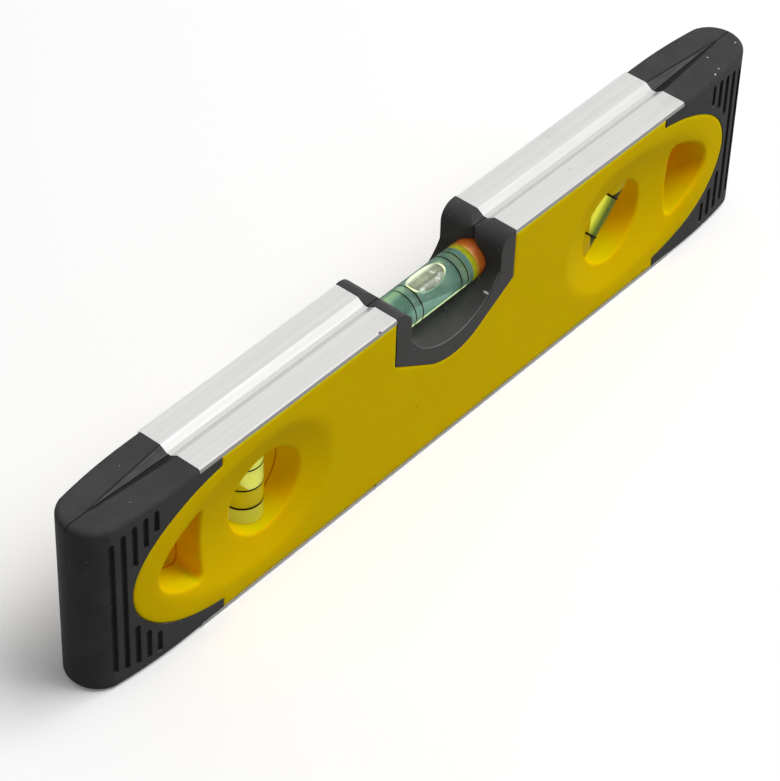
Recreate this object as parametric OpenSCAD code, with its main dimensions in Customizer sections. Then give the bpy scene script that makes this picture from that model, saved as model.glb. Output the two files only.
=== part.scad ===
// Pocket spirit level: I-beam frame, two moulded covers, rubber end caps and three vials.
// X runs along the level, Y from the front face to the rear, Z up. The bottom edge stands on Z = 0.

/* [Overall] */
// Length over the rubber end caps
overall_l = 230; // [224:1:250]
// Width of the two measuring edges
body_w = 18; // [17:0.5:20]
// Height between the two measuring edges
body_h = 48; // [46:0.5:52]

/* [Frame] */
// Half length of the aluminium extrusion
frame_half_l = 84.2; // [83.6:0.2:85.4]
// Thickness of the flange along its lips
flange_t = 1.2; // [1:0.1:1.6]
// Corner radius of the flange lips
lip_r = 0.55; // [0.3:0.05:0.6]
// Thickness of the web on the middle plane
web_t = 1.6; // [1.2:0.2:2]
// Width of the thick root behind each groove
root_w = 8.4; // [7.6:0.2:8.8]
// Height of the thick root behind each groove
root_h = 4.2; // [3.8:0.1:4.6]
// Width of the V-groove at the edge surface
groove_w = 5; // [4:0.2:6]
// Width of the flat floor of the V-groove
groove_floor_w = 1.2; // [0.8:0.1:1.6]
// Depth of the V-groove
groove_d = 1.3; // [0.9:0.1:1.5]

/* [Covers] */
// Half length of the straight part of the cover
cover_half_l = 77.3; // [75:0.1:80]
// Half length of the cover over its rounded ends
cover_tip = 104.2; // [103:0.2:106]
// Where the elliptical end of the cover has its centre
bullet_x = 70; // [66:1:72]
// Half height of the elliptical end of the cover
bullet_h = 20.7; // [19.5:0.1:21]
// Wall thickness of the covers
wall = 1.6; // [1.2:0.1:2]
// Depth of the wall round the edge of a cover
rim_depth = 4.5; // [4:0.1:4.6]
// Depth of the dish at its lowest point
dish_depth = 3; // [2:0.1:3.2]
// Half height of the dish
dish_h = 18; // [16:0.5:18.5]
// Length of the dish from its lowest point toward the notch
dish_inner_l = 20; // [18:0.5:22]
// Length of the dish from its lowest point toward the end cap
dish_outer_l = 34.5; // [32:0.5:35]
// Distance from the window centre out to the lowest point of its dish
dish_shift = 0.5; // [0:0.1:1]

/* [Windows and hand holes] */
// Distance of the window centres from the middle of the level
window_x = 61.5; // [60:0.5:62]
// Radius of the round windows
window_r = 11.3; // [10.5:0.1:11.6]
// Distance of the flat side of the hand hole from the middle
hole_x = 82.75; // [82.5:0.05:84]
// Distance of the round side of the hand hole from the middle
hole_tip = 96.4; // [95.5:0.1:97]
// Half height of the ellipse of the hand hole
hole_h = 12.4; // [11.5:0.1:12.8]
// Corner radius of the hand hole
hole_corner_r = 1.5; // [1:0.1:2]

/* [End caps] */
// Length of a cap's straight flanks, from the frame to where they begin to curve in
cap_straight_l = 4.8; // [3.8:0.2:7]
// Radius of the flanks in plan
flank_r = 135; // [125:1:150]
// How much fuller the nose is than a circle that touches the flanks
nose_extra = 0.1; // [0.05:0.01:0.2]
// Radius of the rounded long edges
cap_edge_r = 1.5; // [1:0.1:2]
// Where the groove has run out at the cap
groove_end = 108.5; // [106:0.5:110]
// Grip slots on one face of a cap
slot_count = 5; // [3:1:5]
// Distance of the first grip slot from the middle
slot_x = 97.2; // [96.5:0.1:98]
// Distance from one grip slot to the next
slot_pitch = 3.05; // [2.7:0.05:3.1]
// Width of a grip slot
slot_w = 1.5; // [1.2:0.1:1.8]
// Depth of a grip slot
slot_depth = 0.9; // [0.5:0.1:1.2]
// Half height over the first grip slot
slot_h = 21.3; // [20:0.1:21.5]
// How much each slot is shorter than the one before, growing with its number squared
slot_round = 0.12; // [0:0.01:0.2]
// Distance from the cover end to the grip slots
slot_gap = 2; // [1.5:0.1:2.5]

/* [Notch] */
// Half width of the black surround
surround_half_w = 20.7; // [20:0.1:21.5]
// Half width of the notch between its straight walls
notch_half_w = 15.7; // [15:0.1:16]
// Depth of the notch from the top edge to its lowest point
notch_depth = 18.7; // [18:0.1:19.5]
// Radius of the notch floor
notch_floor_r = 18; // [17:0.5:19]
// Thickness of the surround below the notch floor
surround_t = 5; // [4.5:0.1:5.5]
// Radius of the lower end of the surround
surround_r = 16.5; // [16:0.5:17.5]
// Slope of the lower sides of the surround
surround_slope = 31; // [28:1:34]
// Radius of the shoulders at the notch mouth
shoulder_r = 4.1; // [3:0.1:4.6]
// Width of the valley where the halves of the surround meet on the walls of the notch
valley_w = 4; // [3:0.1:5]
// Depth of that valley
valley_d = 1; // [0.6:0.1:1.3]
// Thickness of the tongue that holds the surround behind the covers
tongue_t = 2; // [1.5:0.1:2.4]
// Width of that tongue
tongue_w = 1.2; // [0.8:0.1:1.5]

/* [Vials] */
// Outer radius of the vial tubes
tube_r = 4.8; // [4.5:0.05:4.9]
// Bore radius in the middle of a vial
bore_r = 4.1; // [3.8:0.05:4.2]
// How much smaller the bore is at its ends
bore_barrel = 0.08; // [0.04:0.01:0.12]
// Thickness of the closed end of a tube
tube_end_t = 1.5; // [1:0.1:2]
// Depth of the level vial's axis below the top edge
level_vial_drop = 10; // [9.8:0.1:10.6]
// Thickness of the seat beside a vial
saddle_t = 1.4; // [1:0.1:1.8]
// Half length of the level vial
level_vial_half_l = 18.3; // [17.9:0.1:18.6]
// Half length of the plumb and the 45 degree vial
end_vial_half_l = 16.2; // [15.8:0.1:16.6]
// Length of the level vial's plug
level_plug_l = 5.2; // [4.5:0.1:5.6]
// Length of the plug of the plumb and the 45 degree vial
end_plug_l = 3; // [2.5:0.1:3.4]
// Half length of the bubble in the level vial
bubble_half_l = 5.3; // [4.5:0.1:5.6]
// Half width of the bubble in the level vial
bubble_half_w = 2.7; // [2.2:0.1:3]
// Half height of the bubble in the level vial
bubble_half_h = 1.9; // [1.5:0.1:2.2]
// Height of the air in the plumb and the 45 degree vial
air_h = 3.4; // [2.5:0.1:4]

/* [Magnets and pegs] */
// Radius of the magnets in the bottom groove
magnet_r = 2.3; // [2:0.1:2.4]
// Thickness of a magnet
magnet_t = 2.4; // [2:0.1:2.6]
// Depth of the magnet face below the bottom edge
magnet_inset = 0.5; // [0.3:0.1:0.8]
// Distance of the outer magnets from the ends of the frame
magnet_end_gap = 26.2; // [20:1:34]
// Radius of the pegs that join the covers
peg_r = 1.6; // [1.3:0.1:1.8]
// How deep a peg sits in the rear cover
peg_reach = 1.8; // [1.4:0.1:2.4]
// Distance of the outer pegs from the middle
peg_x = 33; // [32:0.5:34]
// Distance of the outer pegs from the measuring edges
peg_inset = 12; // [11:0.5:13]
// Height of the peg under the notch
peg_low_z = 10; // [9:0.5:11]

/* [Fits] */
// Clearance between parts that sit in one another
fit = 0.1; // [0.05:0.01:0.15]

/* [Hidden] */
$fn = 96;
mid_z = body_h / 2;
half_w = body_w / 2;
half_l = overall_l / 2;
eps = 0.01;
// How far a cutter or a trimmed block reaches past what it shapes
over = 2;
// Nose of the cap: a circle whose front lies at the overall length, a little fuller than the
// one that touches the flank circle from inside
flank_x = frame_half_l + cap_straight_l;
flank_drop = flank_r - half_w;
flank_span = half_l - flank_x;
touching_r = (flank_r^2 - flank_drop^2 - flank_span^2) / (2 * (flank_r - flank_span));
nose_r = touching_r + nose_extra;
nose_x = half_l - nose_r;
// How far the flanks run on into the nose
nose_lap = 0.5;
flank_angle = asin((flank_span + over) / flank_r);
// Ellipses of the cover end and the hand hole
bullet_l = cover_tip - bullet_x;
hole_l = hole_tip - bullet_x;
// Cap of a sphere that makes the dish
dish_r = (dish_h^2 + dish_depth^2) / (2 * dish_depth);
dish_x = window_x + dish_shift;
// Notch and surround
notch_floor_z = body_h - notch_depth;
notch_axis_z = notch_floor_z + notch_floor_r;
surround_axis_z = notch_floor_z - surround_t + surround_r;
slope_x = surround_r * sin(surround_slope);
slope_z = surround_axis_z - surround_r * cos(surround_slope);
corner_z = slope_z + (surround_half_w - slope_x) * tan(surround_slope);
// Vials
level_vial_z = body_h - level_vial_drop;
seat_r = tube_r + fit / 2;
saddle_half_w = seat_r + saddle_t;
sleeve_r = window_r + wall;
saddle_end = end_vial_half_l + fit + wall;
web_face = web_t / 2 + fit;
magnet_pitch = frame_half_l - magnet_end_gap;
rim_back = half_w - rim_depth;
tongue_back = web_face + tongue_t;
peg_places = [
    [-peg_x, peg_inset], [peg_x, peg_inset],
    [-peg_x, body_h - peg_inset], [peg_x, body_h - peg_inset],
    [0, peg_low_z]
];

// Plate in the XZ plane that reaches from y0 to y1
module plate(y0, y1) {
    translate([0, y1, 0])
        rotate([90, 0, 0])
            linear_extrude(height = y1 - y0) children();
}

// Bar with a YZ section that reaches from x0 to x1
module bar(x0, x1) {
    translate([x0, 0, 0])
        rotate([90, 0, 90])
            linear_extrude(height = x1 - x0) children();
}

// The child and its mirror image across the middle of the length
module both_ends() {
    children();
    mirror([1, 0, 0]) children();
}

// The child and its mirror image across the middle of the height
module both_edges() {
    children();
    translate([0, 0, body_h]) mirror([0, 0, 1]) children();
}

module both_edges_2d() {
    children();
    translate([0, body_h]) mirror([0, 1]) children();
}

// Ellipse in the plane, by its half axes
module oval(a, b) {
    scale([a, b]) circle(r = 1);
}

// Section of the groove, open at the top edge
module groove_section() {
    polygon([
        [-groove_w / 2, body_h], [-groove_floor_w / 2, body_h - groove_d],
        [groove_floor_w / 2, body_h - groove_d], [groove_w / 2, body_h],
        [groove_w / 2, body_h + over], [-groove_w / 2, body_h + over]
    ]);
}

// Upper flange with rounded lip corners, and the root behind the groove
module flange_section(grow) {
    top = body_h;
    low = body_h - flange_t - grow;
    translate([-half_w, low]) square([body_w, top - low - lip_r]);
    translate([lip_r - half_w, top - lip_r - eps]) square([body_w - 2 * lip_r, lip_r + eps]);
    for (side = [-1, 1])
        translate([side * (half_w - lip_r), top - lip_r]) circle(r = lip_r);
    translate([-root_w / 2 - grow, top - root_h - grow]) square([root_w + 2 * grow, root_h]);
}

// I-beam section of the extrusion, grown by the clearance for what fits round it
module frame_section(grow) {
    both_edges_2d() flange_section(grow);
    translate([-web_t / 2 - grow, root_h - eps])
        square([web_t + 2 * grow, body_h - 2 * root_h + 2 * eps]);
}

// Outline of the black surround, grown on its sides and its lower end
module surround_outline(grow) {
    side = surround_half_w + grow;
    rise = grow / cos(surround_slope);
    polygon([
        [-side, body_h + over], [-side, corner_z - rise + grow * tan(surround_slope)],
        [-slope_x, slope_z - rise], [slope_x, slope_z - rise],
        [side, corner_z - rise + grow * tan(surround_slope)], [side, body_h + over]
    ]);
    translate([0, surround_axis_z]) circle(r = surround_r + grow);
}

// Outline of the notch, with rounded shoulders at its mouth
module notch_outline() {
    mouth = notch_half_w + shoulder_r;
    intersection() {
        translate([0, notch_axis_z]) circle(r = notch_floor_r);
        translate([-notch_half_w, 0]) square([2 * notch_half_w, body_h]);
    }
    translate([-notch_half_w, notch_axis_z - sqrt(notch_floor_r^2 - notch_half_w^2)])
        square([2 * notch_half_w, body_h]);
    difference() {
        translate([-mouth, body_h - shoulder_r]) square([2 * mouth, shoulder_r + over]);
        for (side = [-1, 1])
            translate([side * mouth, body_h - shoulder_r]) circle(r = shoulder_r);
    }
}

// Plan of the valleys along the middle plane, in both end walls of the notch
module valley_plan() {
    both_ends_2d()
        polygon([
            [notch_half_w - over, -valley_w], [notch_half_w - eps, -valley_w / 2],
            [notch_half_w + valley_d, 0],
            [notch_half_w - eps, valley_w / 2], [notch_half_w - over, valley_w]
        ]);
}

// Outline of a cover: a straight middle with elliptical ends, grown all round
module cover_outline(grow) {
    inset = flange_t + fit - grow;
    translate([-cover_half_l - grow, inset])
        square([2 * (cover_half_l + grow), body_h - 2 * inset]);
    for (side = [-1, 1])
        translate([side * bullet_x, mid_z]) oval(bullet_l + grow, bullet_h + grow);
}

// Outline of the hand hole on the right, grown all round
module hole_outline(grow) {
    x0 = hole_x - grow;
    r = hole_corner_r + grow;
    a = hole_l + grow;
    b = hole_h + grow;
    cut = x0 + r - bullet_x;
    half = b * sqrt(1 - (cut / a)^2) - r;
    intersection() {
        translate([bullet_x, mid_z]) oval(a, b);
        translate([x0 + r, 0]) square([a, body_h]);
    }
    translate([x0, mid_z - half]) square([r + eps, 2 * half]);
    for (side = [-1, 1])
        translate([x0 + r, mid_z + side * half]) circle(r = r);
}

// Plan of the whole level: parallel faces that curve in toward the noses
module plan_outline() {
    square([2 * flank_x, body_w], center = true);
    both_ends_2d()
        intersection() {
            translate([flank_x, flank_drop]) circle(r = flank_r, $fn = 720);
            translate([flank_x, -flank_drop]) circle(r = flank_r, $fn = 720);
            translate([flank_x - eps, -half_w]) square([half_l - flank_x, body_w]);
        }
}

module both_ends_2d() {
    children();
    mirror([1, 0]) children();
}

// Groove cutter along the top edge, from x0 to x1
module groove_cutter(x0, x1) {
    bar(x0, x1) groove_section();
}

// Outline of the dish on the right: two half ovals that meet over its lowest point
module dish_outline() {
    translate([dish_x, mid_z]) {
        intersection() {
            oval(dish_inner_l, dish_h);
            translate([-overall_l, -body_h]) square([overall_l, 2 * body_h]);
        }
        intersection() {
            oval(dish_outer_l, dish_h);
            translate([-eps, -body_h]) square([overall_l, 2 * body_h]);
        }
    }
}

// The hollow of the dish: a sphere cap, stretched toward the notch and toward the end cap
module dish_hollow() {
    ball_y = dish_depth - dish_r - half_w;
    translate([dish_x, ball_y, mid_z]) {
        dish_half(dish_inner_l / dish_h, -1);
        dish_half(dish_outer_l / dish_h, 1);
    }
}

// One half of the dish: the part of the stretched ball on one side of its lowest point
module dish_half(stretch, side) {
    reach = 2 * dish_h * stretch;
    intersection() {
        scale([stretch, 1, 1])
            rotate([0, 90, 0]) sphere(r = dish_r, $fn = 360);
        translate([side * reach / 2, dish_r, 0])
            cube([reach, 2 * dish_r, 3 * dish_h], center = true);
    }
}

// Places the child at a window and turns it to the angle of that vial's axis
module at_window(side) {
    translate([side * window_x, 0, mid_z])
        rotate([0, side < 0 ? -90 : -45, 0]) children();
}

// Seats for both ends of a vial that lies along X across its window
module saddles(grow) {
    depth = half_w - wall + grow;
    for (side = [-1, 1])
        translate([side * (saddle_end + window_r) / 2, -depth / 2, 0])
            cube([saddle_end - window_r + 2 * grow, depth, 2 * (saddle_half_w + grow)], center = true);
}

// Opening in the web for the sleeve and the seats of one window
module web_window() {
    rotate([90, 0, 0]) cylinder(r = sleeve_r + fit, h = body_w, center = true);
    cube([2 * (saddle_end + fit), body_w, 2 * (saddle_half_w + fit)], center = true);
}

module frame() {
    color("gainsboro")
        difference() {
            bar(-frame_half_l, frame_half_l) frame_section(0);
            both_edges() groove_cutter(-frame_half_l - over, frame_half_l + over);
            plate(-body_w, body_w) surround_outline(fit);
            for (side = [-1, 1])
                at_window(side) web_window();
            both_ends() plate(-body_w, body_w) hole_outline(wall + fit);
            for (place = peg_places)
                translate([place[0], 0, place[1]])
                    rotate([90, 0, 0]) cylinder(r = peg_r + fit, h = body_w, center = true);
            for (i = [-1, 0, 1])
                translate([i * magnet_pitch, 0, -eps])
                    cylinder(r = magnet_r + fit / 2, h = magnet_inset + magnet_t + eps);
        }
}

// Front half of the moulded housing, without what differs between the two covers
module cover_shell() {
    difference() {
        intersection() {
            linear_extrude(height = body_h) plan_outline();
            union() {
                plate(-half_w, wall - half_w) cover_outline(0);
                plate(-half_w, -rim_back)
                    difference() {
                        cover_outline(0);
                        cover_outline(-wall);
                    }
                plate(-half_w, -tongue_back - fit)
                    intersection() {
                        cover_outline(0);
                        surround_outline(fit + wall);
                        translate([-half_l, 0]) square([overall_l, body_h - root_h - fit]);
                    }
                both_ends() {
                    plate(-half_w, -rim_back) dish_outline();
                    plate(-half_w, -eps / 2) hole_outline(wall);
                    translate([window_x, 0, mid_z])
                        rotate([90, 0, 0]) cylinder(r = sleeve_r, h = half_w);
                }
                for (side = [-1, 1])
                    at_window(side) saddles(0);
                for (place = peg_places)
                    translate([place[0], -web_face, place[1]])
                        rotate([90, 0, 0]) cylinder(r = peg_r + wall, h = half_w - web_face - wall / 2);
            }
        }
        both_ends() {
            dish_hollow();
            plate(-body_w, body_w) hole_outline(0);
            translate([window_x, 0, mid_z])
                rotate([90, 0, 0]) cylinder(r = window_r, h = 2 * body_w, center = true);
        }
        plate(-body_w, body_w) surround_outline(fit);
        for (side = [-1, 1])
            at_window(side)
                rotate([0, 90, 0]) cylinder(r = seat_r, h = 2 * (end_vial_half_l + fit), center = true);
    }
}

module front_cover() {
    color("gold") {
        cover_shell();
        for (place = peg_places)
            translate([place[0], web_face + peg_reach, place[1]])
                rotate([90, 0, 0]) cylinder(r = peg_r, h = 2 * web_face + peg_reach + eps);
    }
}

module rear_cover() {
    color("gold")
        difference() {
            mirror([0, 1, 0]) cover_shell();
            for (place = peg_places)
                translate([place[0], web_face + peg_reach + fit, place[1]])
                    rotate([90, 0, 0]) cylinder(r = peg_r + fit / 2, h = web_face + peg_reach);
        }
}

// Section across the edge of a cap: full height, with both outer corners rounded
module cap_profile(depth) {
    square([depth - cap_edge_r, body_h]);
    translate([0, cap_edge_r]) square([depth, body_h - 2 * cap_edge_r]);
    for (z = [cap_edge_r, body_h - cap_edge_r])
        translate([depth - cap_edge_r, z]) circle(r = cap_edge_r, $fn = 64);
}

// Front half of the right cap before anything is cut from it
module cap_block() {
    bar(frame_half_l + fit, flank_x) mirror([1, 0]) cap_profile(half_w);
    intersection() {
        translate([flank_x, flank_drop, 0])
            rotate([0, 0, -90])
                rotate_extrude(angle = flank_angle, $fn = 1440)
                    translate([flank_r - half_w - over, 0]) cap_profile(half_w + over);
        union() {
            translate([flank_x - over, -body_w, -over])
                cube([nose_x + nose_lap - flank_x + over, body_w, body_h + 2 * over]);
            intersection() {
                translate([nose_x, 0, 0])
                    rotate_extrude($fn = 180) cap_profile(nose_r);
                translate([nose_x, -body_w, -over]) cube([body_w, body_w, body_h + 2 * over]);
            }
        }
    }
}

// Wings of the cap, which lie on the lips between the cover end and the flanges
module cap_wings() {
    difference() {
        plate(-half_w, 0)
            difference() {
                translate([cover_half_l + fit, flange_t + fit])
                    square([frame_half_l + 2 * fit - cover_half_l, body_h - 2 * (flange_t + fit)]);
                translate([bullet_x, mid_z]) oval(bullet_l + fit, bullet_h + fit);
            }
        bar(0, frame_half_l) frame_section(fit);
    }
}

// Half width of the level at a distance from the middle, on the curved flank
function flank_y(x) = flank_drop - sqrt(flank_r^2 - (x - flank_x)^2);

// Inner end of a grip slot, which stays clear of the cover end
function slot_inner(x, grow) =
    let (t = (x - bullet_x) / (bullet_l + grow))
    t < 1 ? (bullet_h + grow) * sqrt(1 - t^2) : 0;

// Outer end of a grip slot, which follows the round of the nose
function slot_outer(i) = slot_h - slot_round * i^2;

// Round-ended grip slot cut into the front of a cap, from z0 to z1 above the middle
module slot(x, z0, z1) {
    r = slot_w / 2;
    plate(-body_w, flank_y(x) + slot_depth) {
        translate([x - r, mid_z + z0 + r]) square([slot_w, z1 - z0 - slot_w]);
        for (z = [z0 + r, z1 - r])
            translate([x, mid_z + z]) circle(r = r, $fn = 32);
    }
}

module grip_slots() {
    for (i = [0:slot_count - 1]) {
        x = slot_x + i * slot_pitch;
        inner = slot_inner(x, slot_gap);
        if (inner > 0) {
            slot(x, inner, slot_outer(i));
            slot(x, -slot_outer(i), -inner);
        } else {
            slot(x, -slot_outer(i), slot_outer(i));
        }
    }
}

// Groove that runs on from the frame and rises out of the cap at its end
module cap_groove() {
    run = groove_end - frame_half_l;
    translate([frame_half_l, 0, body_h])
        rotate([0, -atan2(groove_d, run), 0])
            translate([0, 0, -body_h]) groove_cutter(-1, run + over);
}

// Front half of the right end cap
module cap_half() {
    color("dimgray")
        difference() {
            union() {
                cap_block();
                cap_wings();
            }
            plate(-body_w, -rim_back)
                translate([bullet_x, mid_z]) oval(bullet_l + fit, bullet_h + fit);
            plate(-body_w, body_w) hole_outline(wall + fit);
            both_edges() cap_groove();
            grip_slots();
        }
}

module right_cap_front() {
    cap_half();
}

module right_cap_rear() {
    mirror([0, 1, 0]) cap_half();
}

module left_cap_front() {
    mirror([1, 0, 0]) cap_half();
}

module left_cap_rear() {
    mirror([1, 0, 0]) mirror([0, 1, 0]) cap_half();
}

// Front half of the notch surround, with its seats for the level vial
module surround_half() {
    color("dimgray")
        difference() {
            intersection() {
                union() {
                    plate(-half_w, 0) surround_outline(0);
                    plate(-tongue_back, -web_face)
                        intersection() {
                            surround_outline(tongue_w);
                            square([4 * surround_half_w, 2 * (body_h - root_h - fit)], center = true);
                        }
                }
                translate([-2 * surround_half_w, -half_w, 0]) cube([4 * surround_half_w, half_w, body_h]);
            }
            plate(-body_w, body_w) notch_outline();
            translate([0, 0, level_vial_z]) linear_extrude(height = body_h) valley_plan();
            groove_cutter(-2 * surround_half_w, 2 * surround_half_w);
            translate([0, 0, level_vial_z])
                rotate([0, 90, 0]) cylinder(r = seat_r, h = 2 * (level_vial_half_l + fit), center = true);
        }
}

module notch_surround_front() {
    surround_half();
}

module notch_surround_rear() {
    mirror([0, 1, 0]) surround_half();
}

// Solid of revolution about X whose radius swells from its ends to the middle
module barrel(x0, x1) {
    middle = (x0 + x1) / 2;
    half = (x1 - x0) / 2;
    steps = 4;
    translate([middle, 0, 0])
        rotate([0, 90, 0])
            rotate_extrude()
                polygon([
                    [0, -half],
                    for (i = [-steps:steps]) [bore_r - bore_barrel * (i / steps)^2, half * i / steps],
                    [0, half]
                ]);
}

// Clear tube along X, closed on the left, bored from the right
module vial_tube(half, plug_l) {
    inner = half - plug_l;
    color("palegreen")
        difference() {
            rotate([0, 90, 0]) cylinder(r = tube_r, h = 2 * half, center = true);
            barrel(tube_end_t - half, inner);
            translate([inner - eps, 0, 0])
                rotate([0, 90, 0]) cylinder(r = bore_r - bore_barrel, h = plug_l + 1);
        }
}

// Stopper in the open end of a tube
module vial_plug(half, plug_l) {
    color("orange")
        translate([half - plug_l, 0, 0])
            rotate([0, 90, 0]) cylinder(r = bore_r - bore_barrel, h = plug_l);
}

module level_vial_tube() {
    translate([0, 0, level_vial_z]) vial_tube(level_vial_half_l, level_plug_l);
}

module level_vial_plug() {
    translate([0, 0, level_vial_z]) vial_plug(level_vial_half_l, level_plug_l);
}

module level_vial_fluid() {
    color("mediumseagreen")
        translate([0, 0, level_vial_z])
            difference() {
                barrel(tube_end_t - level_vial_half_l, level_vial_half_l - level_plug_l);
                translate([0, 0, bore_r - bubble_half_h / 2])
                    scale([bubble_half_l, bubble_half_w, bubble_half_h]) sphere(r = 1);
            }
}

module plumb_vial_tube() {
    at_window(-1) mirror([1, 0, 0]) vial_tube(end_vial_half_l, end_plug_l);
}

module plumb_vial_plug() {
    at_window(-1) mirror([1, 0, 0]) vial_plug(end_vial_half_l, end_plug_l);
}

module plumb_vial_fluid() {
    color("yellowgreen")
        at_window(-1)
            mirror([1, 0, 0])
                difference() {
                    barrel(tube_end_t - end_vial_half_l, end_vial_half_l - end_plug_l);
                    translate([-end_vial_half_l, 0, 0])
                        rotate([0, 90, 0]) cylinder(r = tube_r, h = tube_end_t + air_h);
                }
}

module angle_vial_tube() {
    at_window(1) mirror([1, 0, 0]) vial_tube(end_vial_half_l, end_plug_l);
}

module angle_vial_plug() {
    at_window(1) mirror([1, 0, 0]) vial_plug(end_vial_half_l, end_plug_l);
}

// The air lies level under the upper end of the tilted tube
module angle_vial_fluid() {
    surface_z = mid_z + (end_vial_half_l - tube_end_t + bore_r - air_h) * sin(45);
    color("yellowgreen")
        difference() {
            at_window(1)
                mirror([1, 0, 0])
                    barrel(tube_end_t - end_vial_half_l, end_vial_half_l - end_plug_l);
            translate([0, -half_w, surface_z]) cube([half_l, body_w, body_h]);
        }
}

module magnet(i) {
    color("darkgray")
        translate([i * magnet_pitch, 0, magnet_inset]) cylinder(r = magnet_r, h = magnet_t);
}

module magnet_left() {
    magnet(-1);
}

module magnet_middle() {
    magnet(0);
}

module magnet_right() {
    magnet(1);
}

frame();
front_cover();
rear_cover();
left_cap_front();
left_cap_rear();
right_cap_front();
right_cap_rear();
notch_surround_front();
notch_surround_rear();
level_vial_tube();
level_vial_plug();
level_vial_fluid();
plumb_vial_tube();
plumb_vial_plug();
plumb_vial_fluid();
angle_vial_tube();
angle_vial_plug();
angle_vial_fluid();
magnet_left();
magnet_middle();
magnet_right();
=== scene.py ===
"""Looks of a pocket spirit level: brushed aluminium frame, yellow covers, black caps, clear vials."""

import math

import bmesh
import bpy
import numpy as np
from mathutils import Euler, Matrix, Vector
from mathutils.geometry import delaunay_2d_cdt


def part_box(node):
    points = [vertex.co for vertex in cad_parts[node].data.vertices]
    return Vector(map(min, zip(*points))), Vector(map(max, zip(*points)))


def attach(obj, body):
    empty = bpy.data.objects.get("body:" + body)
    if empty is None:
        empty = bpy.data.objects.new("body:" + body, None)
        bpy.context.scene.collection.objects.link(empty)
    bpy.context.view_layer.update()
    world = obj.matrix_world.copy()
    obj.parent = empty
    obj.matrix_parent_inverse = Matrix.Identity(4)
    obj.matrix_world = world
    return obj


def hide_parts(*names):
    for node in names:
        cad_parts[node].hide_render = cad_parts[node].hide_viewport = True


MM = 0.001

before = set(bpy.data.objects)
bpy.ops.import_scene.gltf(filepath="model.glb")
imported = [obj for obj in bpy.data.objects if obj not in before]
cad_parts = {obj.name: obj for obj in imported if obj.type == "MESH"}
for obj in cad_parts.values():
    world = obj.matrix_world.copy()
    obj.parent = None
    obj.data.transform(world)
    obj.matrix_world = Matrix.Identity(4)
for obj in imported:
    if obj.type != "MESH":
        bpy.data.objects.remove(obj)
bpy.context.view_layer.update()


# Camera, fitted to the photograph: its place, the point it looks at and how far it leans
CAMERA_PLACE = Vector((-444.55, -351.95, 532.81)) * MM
CAMERA_AIM = Vector((-19.02, -6.18, 24.0)) * MM
CAMERA_LEAN = math.radians(2.138)
CAMERA_LENS = 153.57
SENSOR = 36.0

# Light: strength of the room, and the place in metres, size and power of the lamps
ROOM_LIGHT = 0.24
KEY_PLACE = (0.79, -0.64, 1.96)
KEY_SIZE = 1.5
KEY_POWER = 42
GLINT_PLACE = (0.6, -0.8, 1.1)
GLINT_SIZE = 0.5
GLINT_POWER = 1.2

# Sizes of a cover, in mm, as the frame has them; X and Z run over its face
FACE_Y = -9.0
COVER_BACK_Y = -4.5
SEAM_Y = -0.03
SEAM_BREAK = 0.07
SLEEVE_WALL = 1.6
MID_Z = 24.0
COVER_LOW = 1.3
COVER_HALF_L = 77.3
BULLET_X = 70.0
BULLET_L = 34.2
BULLET_H = 20.7
FLANK_X = 89.0
FLANK_R = 135.0
WINDOW_X = 61.5
WINDOW_R = 10.95
HOLE_X = 82.75
HOLE_L = 26.4
HOLE_H = 12.4
HOLE_CORNER_R = 1.5
DISH_X = 62.0
DISH_DEPTH = 3.0
DISH_H = 18.0
DISH_INNER_L = 20.0
DISH_OUTER_L = 34.5
NOTCH_HALF_W = 20.8
NOTCH_AXIS_Z = 40.8
NOTCH_R = 16.6
NOTCH_SLOPE = math.radians(31)
# Roundings that the solids leave out
DISH_SOFT = 0.5
WINDOW_EDGE = 0.7
HOLE_EDGE = 0.9
COVER_EDGE = 0.45
# Mesh of a cover's face, in mm: grid step, how far the grid stays from an edge, and steps of a rounded rim
MESH_STEP = 0.9
MESH_GAP = 0.45 * MESH_STEP
ROW_STEP = 0.87 * MESH_STEP
GRID_HALF_L = 105.0
GRID_LOW = 0.5
GRID_HIGH = 2 * MID_Z
RIM_STEPS = 6
ON_EDGE = 0.05
MERGE_GAP = 1e-4
SHARP_ANGLE = math.radians(40)

# Small marks, in mm: X, Y, and half sizes along X and Y
CAP_SPECKS = [
    (102.1, -2.5, 0.2, 0.2),
    (100.4, -7.1, 0.18, 0.18),
    (98.1, -7.8, 0.22, 0.22),
    (111.5, -3.9, 0.2, 0.2),
]
NOTCH_MARK = (12.2, -7.9, 0.2, 0.8)
LIP_NICK = (-26.4, -8.8, 0.5, 0.25)

# V-groove along the top and the bottom edge, where it has run out at the caps, and the line along its lips
GROOVE_W = 5.0 * MM
GROOVE_END = 108.5 * MM
GROOVE_END_HALF_W = 0.3 * MM
GROOVE_SOFT = 0.4 * MM
LIP_LINE = (0.05 * MM, 0.22 * MM)

# Parting line of a black piece: the heights where it starts to show, and where it ends beside the middle
CAP_SEAM_Z = 46.2 * MM
NOTCH_SEAM_Z = 41.0 * MM
SEAM_RISE = 0.3 * MM
BLACK_SEAM = (0.05 * MM, 0.16 * MM)

# Painted highlight on the rim of the notch: its top, and its range on the way out from the middle
NOTCH_RIM_Z = 41.0 * MM
NOTCH_RIM_Y = (8.45 * MM, 8.95 * MM)

# Where the colour of a cover changes: beside its parting line, where that fades, at its long edges with a
# painted highlight, and inside its openings with a painted orange glow of bounced light
YELLOW_SEAM = (0.1 * MM, 0.3 * MM)
SEAM_FADE_X = (74.0 * MM, 75.0 * MM)
LONG_EDGE = (22.1 * MM, 22.5 * MM)
OPENING_DEPTH = (6.5 * MM, 8.2 * MM)
OPENING_REACH = 14.0 * MM

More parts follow.
